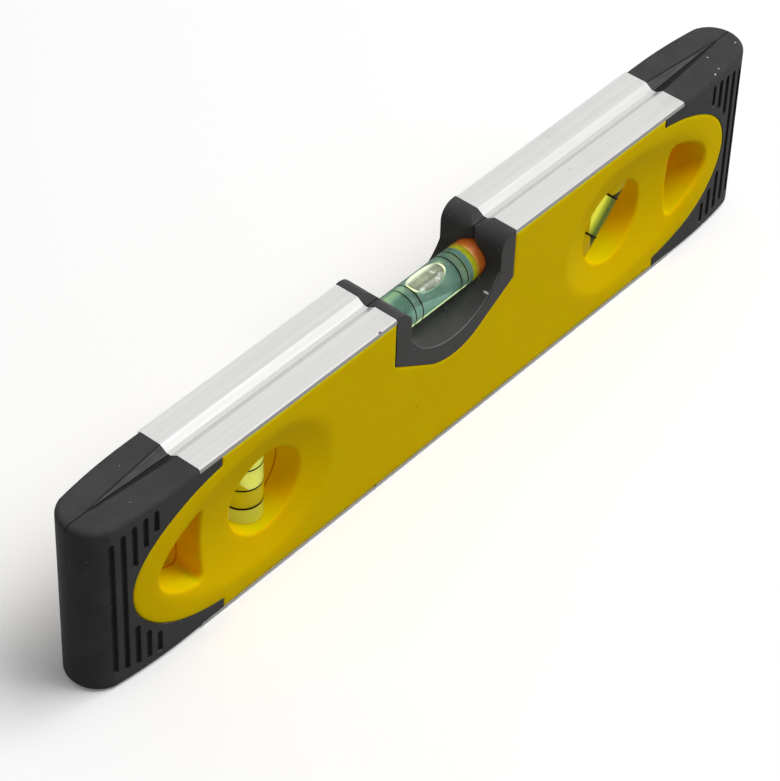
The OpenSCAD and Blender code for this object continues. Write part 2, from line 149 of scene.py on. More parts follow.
# Sizes of the vials that the frame doesn't give
BORE_R = 4.1 * MM
BORE_EDGE = 0.4 * MM
TUBE_EDGE = 0.25 * MM
FLUID_GAP = 0.02 * MM
BUBBLE_X = -0.3 * MM
BUBBLE_HALF_L = 6.3 * MM
BUBBLE_HALF_W = 2.9 * MM
BUBBLE_HALF_H = 1.8 * MM
BUBBLE_SINK = 0.62
BUBBLE_WALL_R = 0.985 * BORE_R
RING_T = 0.025 * MM

# Printed rings, in mm: the place of each along its vial, and its width
LEVEL_RINGS = ((-8.8, 0.3), (-6.4, 0.36), (7.1, 0.36), (9.35, 0.3))
PLUMB_RINGS = ((-5.7, 0.6), (-0.2, 0.45), (5.7, 0.45))
ANGLE_RINGS = ((-5.25, 0.55), (5.25, 0.55))

# Floor: half its side in metres, and how far it lies under the level
FLOOR_HALF = 6.0
FLOOR_GAP = 0.02 * MM


def make_camera():
    """The photograph's view."""
    data = bpy.data.cameras.new("camera")
    data.sensor_fit = "HORIZONTAL"
    data.sensor_width = SENSOR
    data.lens = CAMERA_LENS
    data.clip_start = 0.01
    camera = bpy.data.objects.new("camera", data)
    bpy.context.scene.collection.objects.link(camera)
    turn = (CAMERA_AIM - CAMERA_PLACE).to_track_quat("-Z", "Y").to_matrix()
    lean = Matrix.Rotation(CAMERA_LEAN, 3, "Z")
    camera.matrix_world = Matrix.Translation(CAMERA_PLACE) @ (turn @ lean).to_4x4()
    bpy.context.scene.camera = camera


def connect(tree, socket, value):
    """Links a socket to another, or sets it to a plain value."""
    if isinstance(value, bpy.types.NodeSocket):
        tree.links.new(value, socket)
    else:
        socket.default_value = value


def math_node(tree, operation, *values):
    """Result of a math node."""
    node = tree.nodes.new("ShaderNodeMath")
    node.operation = operation
    for socket, value in zip(node.inputs, values):
        connect(tree, socket, value)
    return node.outputs[0]


class Look:
    """A material with one Principled shader, and short calls for the nodes that feed it."""

    def __init__(self, name, **settings):
        self.material = bpy.data.materials.new(name)
        self.material.use_nodes = True
        self.tree = self.material.node_tree
        self.tree.nodes.clear()
        self.output = self.tree.nodes.new("ShaderNodeOutputMaterial")
        self.shader = self.node("ShaderNodeBsdfPrincipled")
        self.tree.links.new(self.shader.outputs[0], self.output.inputs["Surface"])
        for key, value in settings.items():
            self.shader.inputs[key.replace("_", " ")].default_value = value
        coords = self.node("ShaderNodeTexCoord").outputs
        self.place = coords["Object"]
        self.axes = self.node("ShaderNodeSeparateXYZ", Vector=self.place).outputs
        self.facing = self.node("ShaderNodeSeparateXYZ", Vector=coords["Normal"]).outputs

    def node(self, kind, options=None, **inputs):
        """A node with its options, and each input set to a value or linked to a socket."""
        node = self.tree.nodes.new(kind)
        for key, value in (options or {}).items():
            setattr(node, key, value)
        for key, value in inputs.items():
            connect(self.tree, node.inputs[key.replace("_", " ")], value)
        return node

    def set(self, **inputs):
        """Sets or links inputs of the shader."""
        for key, value in inputs.items():
            connect(self.tree, self.shader.inputs[key.replace("_", " ")], value)

    def math(self, operation, *values):
        return math_node(self.tree, operation, *values)

    def off(self, value, middle):
        """Distance of value from middle, without its sign."""
        return self.math("ABSOLUTE", self.math("SUBTRACT", value, middle))

    def squares(self, one, two):
        """Sum of two squares."""
        return self.math("ADD", self.math("MULTIPLY", one, one), self.math("MULTIPLY", two, two))

    def noise(self, scale, stretch=(1, 1, 1), detail=3, rough=0.55):
        """Noise over the object, scale in cells a metre, squeezed along each axis by stretch."""
        vector = self.place
        if stretch != (1, 1, 1):
            options = {"vector_type": "POINT"}
            vector = self.node("ShaderNodeMapping", options, Vector=vector, Scale=stretch).outputs[0]
        node = self.node("ShaderNodeTexNoise", Vector=vector, Scale=scale, Detail=detail, Roughness=rough)
        return node.outputs["Fac"]

    def specks(self, scale, size, share, seed=0.0):
        """One in a few cells holds a round speck: 1 on it, 0 elsewhere."""
        shift = self.node("ShaderNodeMapping", Vector=self.place, Location=(seed, seed, seed)).outputs[0]
        cells = self.node("ShaderNodeTexVoronoi", Vector=shift, Scale=scale)
        near = self.math("LESS_THAN", cells.outputs["Distance"], size)
        pick = self.node("ShaderNodeSeparateColor", Color=cells.outputs["Color"]).outputs[0]
        return self.math("MULTIPLY", near, self.math("LESS_THAN", pick, share))

    def mark(self, x, y, half_x, half_y):
        """1 on an oval mark seen from above, 0 elsewhere; places and sizes in mm."""
        off_x = self.math("DIVIDE", self.math("SUBTRACT", self.axes["X"], x * MM), half_x * MM)
        off_y = self.math("DIVIDE", self.math("SUBTRACT", self.axes["Y"], y * MM), half_y * MM)
        return self.math("LESS_THAN", self.squares(off_x, off_y), 1.0)

    def ease(self, value, low, high, to_low=0.0, to_high=1.0, how="SMOOTHSTEP"):
        """Maps low..high to to_low..to_high with soft ends."""
        ends = {"From_Min": low, "From_Max": high, "To_Min": to_low, "To_Max": to_high}
        return self.node("ShaderNodeMapRange", {"interpolation_type": how}, Value=value, **ends).outputs[0]

    def ramp(self, value, low, high, to_low, to_high):
        """Maps low..high to to_low..to_high in a straight line."""
        return self.ease(value, low, high, to_low, to_high, "LINEAR")

    def band(self, value, low, high, soft):
        """1 between low and high, with soft ends."""
        rise = self.ease(value, low, low + soft)
        return self.math("MULTIPLY", rise, self.ease(value, high - soft, high, 1.0, 0.0))

    def blend(self, share, low, high):
        """Colour that goes from low to high with share."""
        node = self.tree.nodes.new("ShaderNodeMix")
        node.data_type = "RGBA"
        for key, value in (("Factor", share), (6, low), (7, high)):
            connect(self.tree, node.inputs[key], value)
        return node.outputs[2]

    def relief(self, height, distance, strength=1.0, under=None):
        """Bump of height, in metres at strength 1, on top of another normal."""
        node = self.node("ShaderNodeBump", Height=height, Distance=distance, Strength=strength)
        if under is not None:
            connect(self.tree, node.inputs["Normal"], under)
        return node.outputs[0]

    def rounded(self, radius):
        """Normal that rounds the edges by radius."""
        return self.node("ShaderNodeBevel", {"samples": 4}, Radius=radius).outputs[0]


def grey(level):
    return (level, level, level, 1.0)


def aluminium_look():
    """Brushed aluminium: streaks along the length, faint stains, a few nicks, and sides painted darker as
    shade.
    """
    look = Look("brushed_aluminium", Metallic=1.0)
    streaks = look.noise(1.0, stretch=(40, 5200, 5200), detail=4, rough=0.6)
    bands = look.noise(1.0, stretch=(9, 900, 900), detail=2)
    stains = look.noise(70, detail=4)
    colour = look.blend(look.ease(bands, 0.3, 0.75), (0.71, 0.705, 0.695, 1), (0.765, 0.76, 0.75, 1))
    colour = look.blend(look.ease(stains, 0.55, 0.8, 0, 0.3), colour, (0.60, 0.58, 0.55, 1))
    colour = look.blend(look.specks(1300, 0.2, 0.005), colour, grey(0.2))
    colour = look.blend(look.mark(*LIP_NICK), colour, grey(0.12))
    # Painted shade: faces that turn to the front or back are darker
    painted_side_shade = look.math("ABSOLUTE", look.facing["Y"])
    colour = look.blend(look.ease(painted_side_shade, 0.6, 0.95), colour, (0.27, 0.265, 0.26, 1))
    look.set(
        Base_Color=colour,
        Roughness=look.ease(streaks, 0.3, 0.7, 0.36, 0.5),
        Normal=look.relief(streaks, 0.004 * MM, 0.3, look.rounded(0.15 * MM)),
    )
    return look.material


def yellow_look():
    """Yellow moulded plastic, painted lemon where it faces up to the light and as a highlight at its long
    edges, with a painted orange glow of bounced light in its openings.

    A touch of metal in place of the plain gloss keeps the sheen yellow. The parting line shows up to the
    hand hole at the right end.
    """
    look = Look("yellow_plastic", Specular_IOR_Level=0.0, Metallic=0.05, Subsurface_Weight=0.6)
    look.set(Subsurface_Scale=3 * MM, Subsurface_Radius=(1.0, 0.25, 0.01))
    cloud = look.noise(45, detail=3)
    skin = look.noise(2600, detail=2)
    colour = look.blend(cloud, (0.80, 0.53, 0.0005, 1), (0.84, 0.56, 0.0005, 1))
    # Painted light: lemon where the face turns up towards the light
    colour = look.blend(look.ease(look.facing["Z"], 0.7, 1.0), colour, (0.68, 0.585, 0.0005, 1))
    off_middle = look.math("ABSOLUTE", look.axes["Y"])
    # Painted highlight along the long edges
    painted_edge_highlight = look.ease(look.off(look.axes["Z"], MID_Z * MM), *LONG_EDGE)
    colour = look.blend(painted_edge_highlight, colour, (0.86, 0.70, 0.004, 1))
    seam = look.math("MULTIPLY", look.ease(off_middle, *YELLOW_SEAM, 0.75, 0.0),
                     look.ease(look.axes["X"], *SEAM_FADE_X, 1.0, 0.1))
    colour = look.blend(seam, colour, (0.32, 0.10, 0.0, 1))
    # Painted orange glow that stands in for light bounced deep in the openings
    open_sky = look.node("ShaderNodeAmbientOcclusion", {"samples": 3}, Distance=OPENING_REACH).outputs["AO"]
    painted_glow_share = look.math("MULTIPLY", look.ease(open_sky, 0.25, 0.85, 1.0, 0.0),
                        look.ease(off_middle, *OPENING_DEPTH, 1.0, 0.0))
    colour = look.blend(look.specks(230, 0.05, 0.08), colour, (0.16, 0.09, 0.005, 1))
    look.set(
        Base_Color=colour,
        Emission_Color=(1.0, 0.12, 0.0, 1),
        Emission_Strength=look.math("MULTIPLY", painted_glow_share, 0.11),
        Roughness=look.ease(look.noise(300, detail=3), 0.3, 0.7, 0.32, 0.42),
        Normal=look.relief(skin, 0.004 * MM, 0.35, look.rounded(0.35 * MM)),
    )
    return look.material


def notch_rim_highlight(look, cloud):
    """Share of a painted highlight on the rim of the notch at the front."""
    rim = look.band(look.math("MULTIPLY", look.axes["Y"], -1.0), *NOTCH_RIM_Y, 0.15 * MM)
    in_notch = look.math("MULTIPLY", look.math("LESS_THAN", look.axes["Z"], NOTCH_RIM_Z),
                         look.ease(look.facing["Z"], 0.25, 0.6))
    return look.math("MULTIPLY", look.math("MULTIPLY", rim, in_notch), look.ease(cloud, 0.3, 0.7, 0.2, 0.9))


def end_groove(look, colour, on_edge):
    """Groove past the frame's end: front slope painted dark as shade, rear slope streaked lighter with dust
    and painted light, and a painted shade line along each lip.
    """
    frame_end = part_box("frame")[1][0]
    off_middle = look.math("ABSOLUTE", look.axes["Y"])
    length = look.math("ABSOLUTE", look.axes["X"])
    groove_half = look.ramp(length, frame_end, GROOVE_END, GROOVE_W / 2, GROOVE_END_HALF_W)
    on_groove = look.math("MULTIPLY", on_edge, look.band(length, frame_end, GROOVE_END, 0.1 * MM))
    within = look.ease(look.math("SUBTRACT", groove_half, off_middle), 0.0, GROOVE_SOFT)
    # Rear slope: streaks of dust, lighter as painted light where it faces up and to the front
    streaks = look.noise(1.0, stretch=(150, 2600, 2600), detail=3)
    dust_and_light = look.blend(look.ease(streaks, 0.35, 0.7, 0.1, 0.5), colour, grey(0.15))
    # Painted shade: the front slope is dark
    slope_shade_and_dust = look.blend(look.ease(look.axes["Y"], -0.1 * MM, 0.1 * MM), grey(0.022), dust_and_light)
    colour = look.blend(look.math("MULTIPLY", on_groove, within), colour, slope_shade_and_dust)
    # Painted shade: a dark line along each lip of the groove
    lip_shade_line = look.ease(look.off(off_middle, groove_half), *LIP_LINE, 0.7, 0.0)
    return look.blend(look.math("MULTIPLY", on_groove, lip_shade_line), colour, grey(0.008))


def rubber_look(name, base, gloss, low_rough, high_rough, edge, seed, seam_low, marks):
    """Black rubbery plastic with grain, pale dust and marks.

    Base is its grey, gloss its specular level, and the two rough values its range of roughness. Edge is the
    radius of its edges, seed shifts its dust, and the parting line shows from the height seam_low.
    """
    look = Look(name, Specular_IOR_Level=gloss)
    grain = look.noise(2400, detail=3)
    cloud = look.noise(120, detail=4)
    colour = look.blend(look.ease(cloud, 0.3, 0.75), grey(base), grey(base * 1.3))
    dust = look.math("MAXIMUM", look.specks(420, 0.07, 0.05, seed), look.specks(1100, 0.14, 0.015, seed))
    colour = look.blend(look.math("MULTIPLY", dust, 0.75), colour, (0.42, 0.41, 0.40, 1))
    for mark in marks:
        colour = look.blend(look.mark(*mark), colour, grey(0.6))
    # Painted highlight along the front rim of the notch
    colour = look.blend(notch_rim_highlight(look, cloud), colour, grey(0.2))
    seam_height = seam_low - MID_Z * MM
    on_edge = look.ease(look.off(look.axes["Z"], MID_Z * MM), seam_height, seam_height + SEAM_RISE)
    colour = end_groove(look, colour, on_edge)
    # 0 on the parting line, 1 elsewhere
    off_seam = look.ease(look.math("ABSOLUTE", look.axes["Y"]), *BLACK_SEAM)
    off_seam = look.math("MAXIMUM", off_seam, look.math("SUBTRACT", 1.0, on_edge))
    colour = look.blend(off_seam, grey(0.008), colour)
    normal = look.relief(grain, 0.012 * MM, 0.5, look.rounded(edge))
    look.set(
        Base_Color=colour,
        Roughness=look.ease(cloud, 0.3, 0.7, low_rough, high_rough),
        Normal=look.relief(off_seam, 0.1 * MM, 1.0, normal),
    )
    return look.material


def plug_look():
    """Orange stopper, painted lighter and greener where the liquid meets it, as the liquid's colour shows
    over it refracted.
    """
    low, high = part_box("level_vial_plug")
    look = Look("orange_plug", Roughness=0.35)
    # Painted refraction: the liquid's green over the end of the stopper
    share = look.ease(look.axes["X"], low[0], low[0] + 1.1 * MM)
    colour = look.blend(share, (0.62, 0.62, 0.02, 1), (0.72, 0.17, 0.01, 1))
    look.set(Base_Color=look.blend(look.noise(500), colour, (0.60, 0.13, 0.01, 1)))
    return look.material


def magnet_look():
    """Nickel-plated magnet with fine turning marks."""
    look = Look("plated_magnet", Metallic=1.0)
    marks = look.noise(900, detail=5)
    look.set(
        Base_Color=look.blend(marks, (0.45, 0.44, 0.42, 1), (0.6, 0.59, 0.57, 1)),
        Roughness=look.ease(marks, 0.3, 0.7, 0.25, 0.4),
    )
    return look.material


def acrylic_look():
    """Clear acrylic of the tubes."""
    look = Look("clear_acrylic", Transmission_Weight=1.0, IOR=1.49, Roughness=0.0)
    look.set(Specular_Tint=grey(0.1))
    look.set(Base_Color=look.blend(look.noise(400), (0.96, 1.0, 0.96, 1), (0.99, 1.0, 0.99, 1)))
    return look.material


def air_look():
    """Air bubble, painted pale and glowing on its far side, with a painted highlight line where the liquid
    leaves the wall of the bore.

    The mesh is turned inside out, so that light leaves the liquid there.
    """
    look = Look("air_bubble", IOR=1.42, Roughness=0.05)
    # Painted highlight line where the liquid leaves the wall of the bore
    rise = look.math("SUBTRACT", look.axes["Z"], centre_of("level_vial_tube").z)
    radial = look.math("SQRT", look.squares(look.axes["Y"], rise))
    meets = look.ease(radial, 0.88 * BORE_R, 0.93 * BORE_R)
    leaves = look.ease(radial, 0.972 * BORE_R, 0.984 * BORE_R, 1.0, 0.0)
    nearer = look.ease(look.axes["Y"], 0.4 * MM, 1.6 * MM, 1.0, 0.3)
    highlight_line = look.math("MULTIPLY", meets, look.math("MULTIPLY", leaves, nearer))
    facets = look.noise(420, detail=2)
    pale = look.blend(look.ease(facets, 0.3, 0.7), (0.20, 0.22, 0.16, 1), (0.34, 0.36, 0.28, 1))
    # Painted light: the far side pale and glowing
    lit_far_side = look.ease(look.axes["Y"], 0.5 * MM, 2.0 * MM)
    pale = look.blend(lit_far_side, pale, (0.82, 0.81, 0.68, 1))
    # Painted highlight patches
    pale = look.blend(look.ease(facets, 0.58, 0.62), pale, (0.66, 0.68, 0.64, 1))
    colour = look.blend(highlight_line, pale, (0.98, 1.0, 0.62, 1))
    # Painted glow, faint all over and stronger on the highlight line and the far side
    glow = look.math("MAXIMUM", highlight_line, look.math("MULTIPLY", lit_far_side, 0.9))
    look.set(
        Base_Color=colour,
        Emission_Color=colour,
        Emission_Strength=look.math("ADD", 0.1, look.math("MULTIPLY", glow, 0.45)),
        Transmission_Weight=look.math("SUBTRACT", 0.4, look.math("MULTIPLY", highlight_line, 0.4)),
    )
    return look.material


class Liquid(Look):
    """Dyed liquid: part of the light goes through, tinted, and a painted glow stands in for the light it
    gathers.
    """

    def __init__(self, name, thin, thick, through, glow):
        super().__init__(name, IOR=1.0, Roughness=0.0, Specular_IOR_Level=0.0)
        self.colour = self.blend(self.ease(self.noise(260, detail=2), 0.3, 0.7), thin, thick)
        self.through = through
        self.glow = glow

    def stain(self, share, colour, through, glow):
        """Where share is 1, the liquid has this colour, lets this much through and has so much painted glow.
        """
        self.colour = self.blend(share, self.colour, colour)
        self.through = self.mix(share, self.through, through)
        self.glow = self.mix(share, self.glow, glow)

    def mix(self, share, low, high):
        """Number that goes from low to high with share."""
        return self.node("ShaderNodeMapRange", Value=share, To_Min=low, To_Max=high).outputs[0]

    def made(self):
        """The material, once all its stains are in."""
        self.set(Base_Color=self.colour, Emission_Color=self.colour)
        self.set(Transmission_Weight=self.through, Emission_Strength=self.glow)
        return self.material


def teal_look():
    """Teal liquid: clear over the bubble, tinted by the stopper, with light gathered low on each side."""
    look = Liquid("teal_liquid", (0.30, 0.46, 0.40, 1), (0.20, 0.38, 0.30, 1), 0.6, 0.08)
    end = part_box("level_vial_plug")[0][0]
    middle = centre_of("level_vial_tube").z
    along = look.axes["X"]
    # Blue, then olive, towards the stopper, where the stopper's colour is painted in as it shows through the
    # liquid
    look.stain(look.ease(along, end - 3.6 * MM, end - 2.6 * MM), (0.13, 0.27, 0.29, 1), 0.45, 0.12)
    look.stain(look.ease(along, end - 1.9 * MM, end - 1.2 * MM), (0.34, 0.34, 0.01, 1), 0.3, 0.3)
    # Light gathered low on each side
    gathered = look.band(look.axes["Z"], middle - 3.1 * MM, middle - 1.3 * MM, 0.3 * MM)
    short_of_end = look.ease(along, end - 4.5 * MM, end - 2.0 * MM, 1.0, 0.0)
    look.stain(look.math("MULTIPLY", gathered, short_of_end), (0.80, 0.90, 0.45, 1), 0.3, 0.85)
    # Clear over the bubble
    off_x = look.math("DIVIDE", look.math("SUBTRACT", along, BUBBLE_X), BUBBLE_HALF_L)
    off_y = look.math("DIVIDE", look.axes["Y"], BUBBLE_HALF_W)
    on_oval = look.ease(look.squares(off_x, off_y), 0.85, 1.0, 1.0, 0.0)
    upper = look.math("GREATER_THAN", look.axes["Z"], middle)
    look.stain(look.math("MULTIPLY", upper, on_oval), (0.97, 1.0, 0.93, 1), 0.96, 0.0)
    return look.made()


def plumb_look():
    """Lime liquid, painted bright above the middle ring where light shows through, and painted with the
    cover's yellow, as it shows refracted, below it at the front.
    """
    look = Liquid("plumb_liquid", (0.80, 0.82, 0.20, 1), (0.76, 0.79, 0.16, 1), 0.6, 0.22)
    centre = centre_of("plumb_vial_tube")
    off_x = look.math("SUBTRACT", look.axes["X"], centre.x)
    rise = look.math("SUBTRACT", look.axes["Z"], centre.z)
    front = look.ease(look.axes["Y"], -0.6 * MM, 0.2 * MM, 1.0, 0.0)
    # Greener to the right
    right = look.ease(off_x, -0.5 * MM, 2.5 * MM, 0.0, 0.8)
    look.stain(look.math("MULTIPLY", front, right), (0.55, 0.66, 0.09, 1), 0.55, 0.2)
    # Cover's yellow painted in below the middle ring, with an edge that leans at the left, and olive at the
    # foot
    lean = look.math("MULTIPLY", look.math("MAXIMUM", look.math("SUBTRACT", -1.9 * MM, off_x), 0.0), 1.45)
    low = look.ease(look.math("SUBTRACT", rise, lean), -0.5 * MM, -0.3 * MM, 1.0, 0.0)
    look.stain(look.math("MULTIPLY", front, low), (0.46, 0.36, 0.002, 1), 0.25, 0.35)
    foot = look.ease(rise, -6.1 * MM, -5.8 * MM, 1.0, 0.0)
    look.stain(look.math("MULTIPLY", front, foot), (0.46, 0.46, 0.045, 1), 0.25, 0.4)
    return look.made()


def angle_look():
    """Lime liquid painted with what it refracts: the cover's yellow, then lime, then dark green as painted
    shade across it, and painted dark past the rings.
    """
    look = Liquid("angle_liquid", (0.70, 0.68, 0.07, 1), (0.64, 0.63, 0.05, 1), 0.3, 0.55)
    centre = centre_of("angle_vial_tube")
    off_x = look.math("SUBTRACT", look.axes["X"], centre.x)
    off_z = look.math("SUBTRACT", look.axes["Z"], centre.z)
    across = look.math("MULTIPLY", look.math("SUBTRACT", off_x, off_z), math.sqrt(0.5) / MM)
    along = look.math("MULTIPLY", look.math("ADD", off_x, off_z), math.sqrt(0.5) / MM)
    # Green, then dark green, across the vial: painted shade
    look.stain(look.ease(across, -2.4, -1.3), (0.28, 0.35, 0.03, 1), 0.25, 0.4)
    look.stain(look.ease(across, -1.4, -0.2), (0.07, 0.11, 0.012, 1), 0.2, 0.35)
    # Painted dark past the rings, and a painted tan highlight along the lower edge
    past = look.ease(look.math("ABSOLUTE", along), 5.1, 5.4)
    look.stain(past, (0.03, 0.035, 0.004, 1), 0.1, 0.4)
    look.stain(look.ease(across, 1.6, 2.1), (0.50, 0.42, 0.10, 1), 0.3, 0.45)
    # Cover's yellow painted in, as refracted, beyond a bowed line along the upper edge, and at each tip
    off_bow = look.math("SUBTRACT", along, 1.2)
    bow = look.math("MULTIPLY", look.math("MULTIPLY", off_bow, off_bow), 0.045)
    left = look.math("LESS_THAN", look.math("SUBTRACT", across, bow), -3.2)
    beyond = look.math("MULTIPLY", look.math("SUBTRACT", look.math("ABSOLUTE", along), 5.5), 0.9)
    tip = look.math("MULTIPLY", past, look.math("LESS_THAN", look.math("SUBTRACT", across, beyond), -1.0))
    look.stain(look.math("MAXIMUM", left, tip), (0.42, 0.30, 0.001, 1), 0.05, 0.36)
    return look.made()


def ring_look():
    """Black printed ring."""
    look = Look("ring_print", Roughness=0.5, Specular_IOR_Level=0.02)
    look.set(Base_Color=look.blend(look.noise(3000), (0.012, 0.010, 0.003, 1), (0.028, 0.022, 0.007, 1)))
    return look.material


def new_piece(name, mesh, material, place=None):
    """Puts a mesh into the scene as a piece of the level."""
    if place is not None:
        mesh.transform(place)
    mesh.materials.append(material)
    piece = bpy.data.objects.new(name, mesh)
    bpy.context.scene.collection.objects.link(piece)
    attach(piece, "root")
    return piece


def turned_mesh(name, profile, closed=False, segments=128):
    """Mesh of revolution about X through (x, radius) points, with the ends capped at the axis."""
    form = bmesh.new()
    rings = []
    for x, radius in profile:
        if radius == 0:
            rings.append([form.verts.new((x, 0, 0))] * segments)
            continue
        turns = [2 * math.pi * i / segments for i in range(segments)]
        rings.append([form.verts.new((x, radius * math.cos(t), radius * math.sin(t))) for t in turns])
    pairs = list(zip(rings, rings[1:]))
    if closed:
        pairs.append((rings[-1], rings[0]))
    for one, two in pairs:
        for i in range(segments):
            corners = [one[i], one[(i + 1) % segments], two[(i + 1) % segments], two[i]]
            face = [c for k, c in enumerate(corners) if c is not corners[k - 1]]
            form.faces.new(face).smooth = True
    bmesh.ops.recalc_face_normals(form, faces=form.faces)
    mesh = bpy.data.meshes.new(name)
    form.to_mesh(mesh)
    form.free()
    return mesh


def rounded_rod(x0, x1, radius, edge, steps=5):
    """Profile of a solid rod with rounded edges."""
    points = [(x0, 0.0), (x0, radius - edge)]
    for i in range(1, steps + 1):
        turn = math.pi / 2 * i / steps
        points.append((x0 + edge * (1 - math.cos(turn)), radius - edge + edge * math.sin(turn)))
    points += [(x1 - (x - x0), r) for x, r in reversed(points)]
    return points


def centre_of(node):
    low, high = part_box(node)
    return (Vector(low) + Vector(high)) / 2


def size_of(node):
    low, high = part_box(node)
    return Vector(high) - Vector(low)


def make_tube(name, half, radius, place, node):
    """Clear body of a vial. It is solid: the liquid's own surface marks the bore."""
    mesh = turned_mesh(name, rounded_rod(-half, half, radius, TUBE_EDGE))
    tube = new_piece(name, mesh, ACRYLIC, place)
    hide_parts(node)


def make_rings(name, rings, radius, place):
    """Printed rings round a vial; each has its place along the vial and its width, in mm."""
    for number, (centre, width) in enumerate(rings):
        start, end = (centre - width / 2) * MM, (centre + width / 2) * MM
        inner, outer = radius - RING_T, radius + RING_T
        profile = [(start, inner), (start, outer), (end, outer), (end, inner)]
        mesh = turned_mesh(f"{name}_ring_{number + 1}", profile, closed=True)
        new_piece(f"{name}_ring_{number + 1}", mesh, RING_PRINT, place)


def bubble_mesh(name, centre, half_l, half_w, half_h, rows=40, turns=64):
    """Long bubble that lies against the top of the bore, turned inside out."""
    form = bmesh.new()
    bmesh.ops.create_uvsphere(form, u_segments=turns, v_segments=rows, radius=1.0)
    middle_z = BORE_R - BUBBLE_SINK * half_h
    for vert in form.verts:
        spot = Vector((vert.co.z * half_l, vert.co.y * half_w, vert.co.x * half_h + middle_z))
        radial = math.hypot(spot.y, spot.z)
        if radial > BUBBLE_WALL_R:
            spot.y *= BUBBLE_WALL_R / radial
            spot.z *= BUBBLE_WALL_R / radial
        vert.co = spot + Vector((centre, 0, 0))
    bmesh.ops.recalc_face_normals(form, faces=form.faces)
    bmesh.ops.reverse_faces(form, faces=form.faces)
    for face in form.faces:
        face.smooth = True
    mesh = bpy.data.meshes.new(name)
    form.to_mesh(mesh)
    form.free()
    return mesh


def arc(centre, half_axes, start, end):
    """Points on an ellipse from one angle to another, about MESH_STEP apart."""
    length = abs(end - start) * max(half_axes)
    turns = np.linspace(start, end, max(3, math.ceil(length / MESH_STEP)) + 1)
    return [(centre[0] + half_axes[0] * math.cos(t), centre[1] + half_axes[1] * math.sin(t)) for t in turns]


def line(start, end):
    """Points on a line from one point up to, but without, the other."""
    count = max(1, math.ceil(math.dist(start, end) / MESH_STEP))
    return [tuple(np.array(start) + (np.array(end) - np.array(start)) * i / count) for i in range(count)]


def cover_outline():
    """Edge of a cover: straight middle, elliptical ends, and the cut-out for the surround."""
    high = 2 * MID_Z - COVER_LOW
    turn = math.acos((COVER_HALF_L - BULLET_X) / BULLET_L)
    bullet = arc((BULLET_X, MID_Z), (BULLET_L, BULLET_H), -turn, turn)
    dip = arc((0, NOTCH_AXIS_Z), (NOTCH_R, NOTCH_R), NOTCH_SLOPE - math.pi / 2, -math.pi / 2)
    corner = (NOTCH_HALF_W, dip[0][1] + (NOTCH_HALF_W - dip[0][0]) * math.tan(NOTCH_SLOPE))
    right = (
        line((0, COVER_LOW), (COVER_HALF_L, COVER_LOW))
        + line((COVER_HALF_L, COVER_LOW), bullet[0])
        + bullet[:-1]
        + line(bullet[-1], (COVER_HALF_L, high))
        + line((COVER_HALF_L, high), (NOTCH_HALF_W, high))
        + line((NOTCH_HALF_W, high), corner)
        + line(corner, dip[0])
        + dip
    )
    left = [(-x, z) for x, z in reversed(right[1:-1])]
    return np.array(right + left)


def window_outline():
    return np.array(arc((WINDOW_X, MID_Z), (WINDOW_R, WINDOW_R), 0, 2 * math.pi)[:-1])


def hole_outline():
    """Edge of a hand hole: an ellipse cut off straight, with rounded corners."""
    centre_x = HOLE_X + HOLE_CORNER_R
    half = HOLE_H * math.sqrt(1 - ((centre_x - BULLET_X) / HOLE_L) ** 2) - HOLE_CORNER_R
    turn = math.acos((centre_x - BULLET_X) / HOLE_L)
    round_end = arc((BULLET_X, MID_Z), (HOLE_L, HOLE_H), -turn, turn)
    lean = math.atan2(round_end[-1][1] - MID_Z - half, round_end[-1][0] - centre_x)
    top = arc((centre_x, MID_Z + half), (HOLE_CORNER_R, HOLE_CORNER_R), lean, math.pi)[1:]
    bottom = [(x, 2 * MID_Z - z) for x, z in reversed(top)]
    return np.array(round_end + top + line(top[-1], bottom[0])[1:] + bottom)


def gap_to(points, outline):
    """Distance from each point to a closed outline."""
    start = outline
    along = np.roll(outline, -1, axis=0) - start
    away = points[:, None, :] - start[None]
    share = np.clip((away * along).sum(2) / (along ** 2).sum(1), 0, 1)
    return np.linalg.norm(away - share[..., None] * along, axis=2).min(axis=1)


def inside(points, outline):
    """True for each point that lies within a closed outline."""
    x, z = points[:, 0, None], points[:, 1, None]
    one, two = outline, np.roll(outline, -1, axis=0)
    crosses = (one[:, 1] > z) != (two[:, 1] > z)
    rise = np.where(two[:, 1] == one[:, 1], 1, two[:, 1] - one[:, 1])
    at = one[:, 0] + (z - one[:, 1]) / rise * (two[:, 0] - one[:, 0])
    return (crosses & (x < at)).sum(1) % 2 == 1


def shifted(outline, distance):
    """The outline moved outward by distance, with mitred corners."""
    ahead = np.roll(outline, -1, axis=0) - outline
    ahead /= np.linalg.norm(ahead, axis=1)[:, None]
    out = np.stack([ahead[:, 1], -ahead[:, 0]], axis=1)
    mean = out + np.roll(out, 1, axis=0)
    return outline + distance * mean / (1 + (out * np.roll(out, 1, axis=0)).sum(1))[:, None]


def rounding(gap, radius):
    """How far a rounded edge has dropped at a distance from it."""
    rest = np.clip(radius - gap, 0, radius)
    return radius - np.sqrt(radius ** 2 - rest ** 2)


def dish_drop(points):
    """Depth of the dish, with a soft rim where it meets the face."""
    x = np.abs(points[:, 0]) - DISH_X
    length = np.where(x < 0, DISH_INNER_L, DISH_OUTER_L)
    bowl = DISH_DEPTH * (1 - (x / length) ** 2 - ((points[:, 1] - MID_Z) / DISH_H) ** 2)
    soft = (bowl + DISH_SOFT) ** 2 / (4 * DISH_SOFT)
    return np.where(bowl > DISH_SOFT, bowl, np.where(bowl < -DISH_SOFT, 0, soft))


def face_y(points):
    """Face of a cover without its rounded edges: flat, curved in at the ends, and dished."""
    past = np.clip(np.abs(points[:, 0]) - FLANK_X, 0, None)
    return FACE_Y + FLANK_R - np.sqrt(FLANK_R ** 2 - past ** 2) + dish_drop(points)


